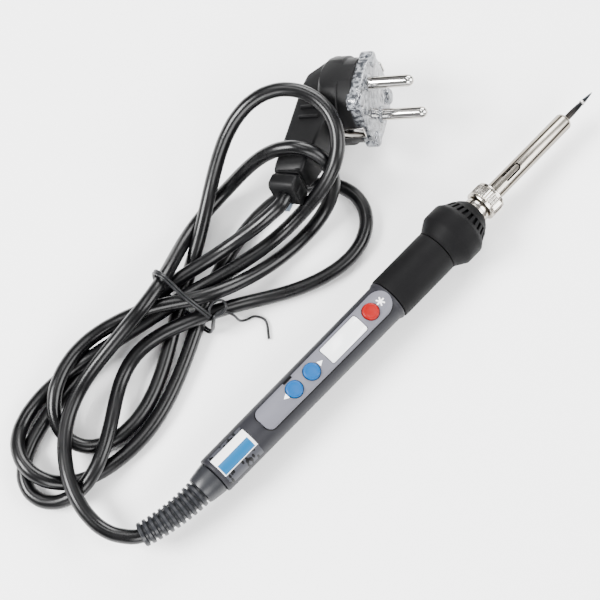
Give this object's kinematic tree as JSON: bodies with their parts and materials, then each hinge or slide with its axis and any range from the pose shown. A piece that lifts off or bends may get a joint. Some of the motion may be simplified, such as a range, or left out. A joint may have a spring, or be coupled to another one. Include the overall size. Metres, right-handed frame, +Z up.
{
  "type": "soldering iron",
  "caption": "Temperature controlled soldering iron with a digital display, push buttons, a ceramic heated tip and a bundled mains cord with plug.",
  "frame": {"origin": "centre of the iron's bounding box on the surface it lies on, without the cord and plug", "axes": "+X from the strain relief to the soldering tip, +Y towards the bundled cord, +Z up, the way the control panel faces"},
  "size_m": [0.2751, 0.1063, 0.0435],
  "materials": {
    "shell": "dark grey moulded plastic with a soft sheen",
    "panel": "silver grey lacquered plastic",
    "label": "printed film label in blue and white bands",
    "blue_button": "light blue moulded key",
    "red_button": "red moulded key",
    "white_plastic": "white moulded plastic",
    "switch_body": "black moulded component body",
    "window": "pale display window",
    "display": "liquid crystal display module",
    "board": "green solder mask",
    "capacitor": "yellow film capacitor case",
    "grip": "matt black soft grip",
    "collar": "black heat resistant plastic",
    "nickel": "bright nickel plate",
    "sleeve_steel": "drawn stainless tube",
    "tip_plating": "iron plated copper tip with a tinned point",
    "ceramic": "white ceramic heating element",
    "boot": "glossy black flexible boot",
    "cord": "glossy black cord sheath",
    "tie": "black plastic coated twist wire",
    "brown_wire": "brown insulation",
    "blue_wire": "blue insulation",
    "green_wire": "green and yellow insulation",
    "lead_sleeve": "white woven glass sleeving",
    "plug": "matt black moulded plug",
    "insert": "clear moulded insert",
    "tag": "pale bluish grey film tab"
  },
  "bodies": {
    "iron": {"handle_shell": "shell", "control_panel": "panel", "rating_label": "label", "down_switch": "switch_body", "up_switch": "switch_body", "red_switch": "switch_body", "display_window": "window", "display_module": "display", "circuit_board": "board", "film_capacitor": "capacitor", "triac": "switch_body", "microcontroller": "switch_body", "grip_sleeve": "grip", "heat_collar": "collar", "front_ferrule": "nickel", "ceramic_heater": "ceramic", "strain_relief_boot": "boot", "cord_clamp": "shell", "cord_clamp_screw_1": "nickel", "cord_clamp_screw_2": "nickel", "live_wire": "brown_wire", "neutral_wire": "blue_wire", "earth_wire": "green_wire", "heater_lead_1": "lead_sleeve", "heater_lead_2": "lead_sleeve", "cord_inner": "cord", "plug_body": "plug", "plug_insert": "insert", "plug_pin_1": "nickel", "plug_pin_2": "nickel", "earth_clip_1": "nickel", "earth_clip_2": "nickel", "plug_tag": "tag", "cord": "cord", "cord_tie": "tie"},
    "down_key": {"down_button": "blue_button", "down_plunger": "white_plastic"},
    "up_key": {"up_button": "blue_button", "up_plunger": "white_plastic"},
    "red_key": {"red_button": "red_button", "red_plunger": "white_plastic"},
    "barrel": {"tip_sleeve": "sleeve_steel", "soldering_tip": "tip_plating"},
    "nut": {"retaining_nut": "nickel"}
  },
  "joints": [
    {"name": "down_key_press", "type": "slide", "parent": "iron", "child": "down_key", "axis": [0, 0, -1], "range_m": [0, 0.0007], "stiffness_N_per_m": 400},
    {"name": "up_key_press", "type": "slide", "parent": "iron", "child": "up_key", "axis": [0, 0, -1], "range_m": [0, 0.0007], "stiffness_N_per_m": 400},
    {"name": "red_key_press", "type": "slide", "parent": "iron", "child": "red_key", "axis": [0, 0, -1], "range_m": [0, 0.0007], "stiffness_N_per_m": 400},
    {"name": "barrel_slide", "type": "slide", "parent": "iron", "child": "barrel", "axis": [1, 0, 0], "range_m": [0, 0.0045]},
    {"name": "nut_spin", "type": "hinge", "parent": "barrel", "child": "nut", "pos_m": [0.0447, 0, 0.0124], "axis": [1, 0, 0], "range_deg": [0, 1620]}
  ],
  "couplings": [
    {"joint": "barrel_slide", "follows": "nut_spin", "m_per_rad": 0.00015915}
  ]
}
